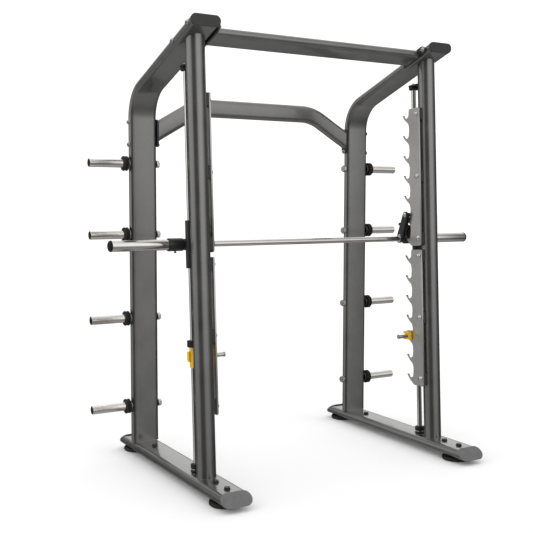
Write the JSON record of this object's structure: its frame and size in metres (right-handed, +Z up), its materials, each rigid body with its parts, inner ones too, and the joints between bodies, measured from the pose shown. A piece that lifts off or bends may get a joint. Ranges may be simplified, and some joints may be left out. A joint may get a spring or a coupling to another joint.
{
  "type": "smith machine",
  "caption": "Leaning-guide smith machine: a barbell on slide carriages between notched racks, with hook levers, safety stops and plate storage pegs.",
  "frame": {"origin": "on the floor, at the middle of the box round the whole machine", "axes": "+Z up, +Y from the front uprights towards the rear uprights, X along the bar"},
  "size_m": [2.1126, 1.2086, 2.1308],
  "materials": {
    "powder_coat": "satin fine-grain powder coat",
    "end_cap": "matte",
    "foot_rubber": "matte",
    "bumper_rubber": "matte",
    "black_steel": "semi-gloss",
    "rack_steel": "satin plated",
    "peg_steel": "satin plated",
    "chrome": "polished",
    "machined_steel": "turned",
    "safety_yellow": "semi-gloss"
  },
  "bodies": {
    "frame": {"base_rail_left": "powder_coat", "base_rail_right": "powder_coat", "rear_upright_left": "powder_coat", "rear_upright_right": "powder_coat", "front_upright_left": "powder_coat", "front_upright_right": "powder_coat", "middle_cross_beam": "powder_coat", "top_cross_beam": "powder_coat", "base_front_cap_left": "end_cap", "base_front_cap_right": "end_cap", "base_rear_cap_left": "end_cap", "base_rear_cap_right": "end_cap", "arm_cap_left": "end_cap", "arm_cap_right": "end_cap", "front_foot_left": "foot_rubber", "front_foot_right": "foot_rubber", "rear_foot_left": "foot_rubber", "rear_foot_right": "foot_rubber", "lower_bumper_left": "bumper_rubber", "lower_bumper_right": "bumper_rubber", "upper_bumper_left": "bumper_rubber", "upper_bumper_right": "bumper_rubber", "rod_bracket_left": "black_steel", "rod_bracket_right": "black_steel", "upper_rack_left": "rack_steel", "upper_rack_right": "rack_steel", "lower_rack_left": "rack_steel", "lower_rack_right": "rack_steel", "plate_peg_left_1": "peg_steel", "plate_peg_left_2": "peg_steel", "plate_peg_left_3": "peg_steel", "plate_peg_left_4": "peg_steel", "plate_peg_right_1": "peg_steel", "plate_peg_right_2": "peg_steel", "plate_peg_right_3": "peg_steel", "plate_peg_right_4": "peg_steel", "guide_rod_left": "chrome", "guide_rod_right": "chrome", "rod_flange_left": "machined_steel", "rod_flange_right": "machined_steel"},
    "carriage": {"carriage_left": "black_steel", "carriage_right": "black_steel", "linear_bush_left": "machined_steel", "linear_bush_right": "machined_steel"},
    "bar": {"bar": "chrome", "set_collar_left": "black_steel", "set_collar_right": "black_steel", "hook_lever_left": "black_steel", "hook_lever_right": "black_steel"},
    "sleeve_left": {"plate_sleeve_left": "chrome", "sleeve_cap_left": "end_cap"},
    "sleeve_right": {"plate_sleeve_right": "chrome", "sleeve_cap_right": "end_cap"},
    "stop_left": {"safety_stop_left": "safety_yellow", "stop_pad_left": "bumper_rubber"},
    "knob_left": {"stop_knob_left": "machined_steel"},
    "stop_right": {"safety_stop_right": "safety_yellow", "stop_pad_right": "bumper_rubber"},
    "knob_right": {"stop_knob_right": "machined_steel"}
  },
  "joints": [
    {"name": "bar_travel", "type": "slide", "parent": "frame", "child": "carriage", "axis": [0, 0.05, 0.9987], "range_m": [-0.318, 0.636]},
    {"name": "hook_turn", "type": "hinge", "parent": "carriage", "child": "bar", "pos_m": [0, -0.0988, 1.11904], "axis": [-1, 0, 0], "range_deg": [0, 60]},
    {"name": "sleeve_spin_left", "type": "hinge", "parent": "bar", "child": "sleeve_left", "pos_m": [0, -0.0988, 1.11904], "axis": [1, 0, 0], "continuous": true},
    {"name": "sleeve_spin_right", "type": "hinge", "parent": "bar", "child": "sleeve_right", "pos_m": [0, -0.0988, 1.11904], "axis": [1, 0, 0], "continuous": true},
    {"name": "stop_travel_left", "type": "slide", "parent": "frame", "child": "stop_left", "axis": [0, 0.05, 0.9987], "range_m": [-0.318, 0]},
    {"name": "knob_pull_left", "type": "slide", "parent": "stop_left", "child": "knob_left", "axis": [1, 0, 0], "range_m": [0, 0.012], "stiffness_N_per_m": 500},
    {"name": "stop_travel_right", "type": "slide", "parent": "frame", "child": "stop_right", "axis": [0, 0.05, 0.9987], "range_m": [-0.318, 0]},
    {"name": "knob_pull_right", "type": "slide", "parent": "stop_right", "child": "knob_right", "axis": [-1, 0, 0], "range_m": [0, 0.012], "stiffness_N_per_m": 500}
  ]
}
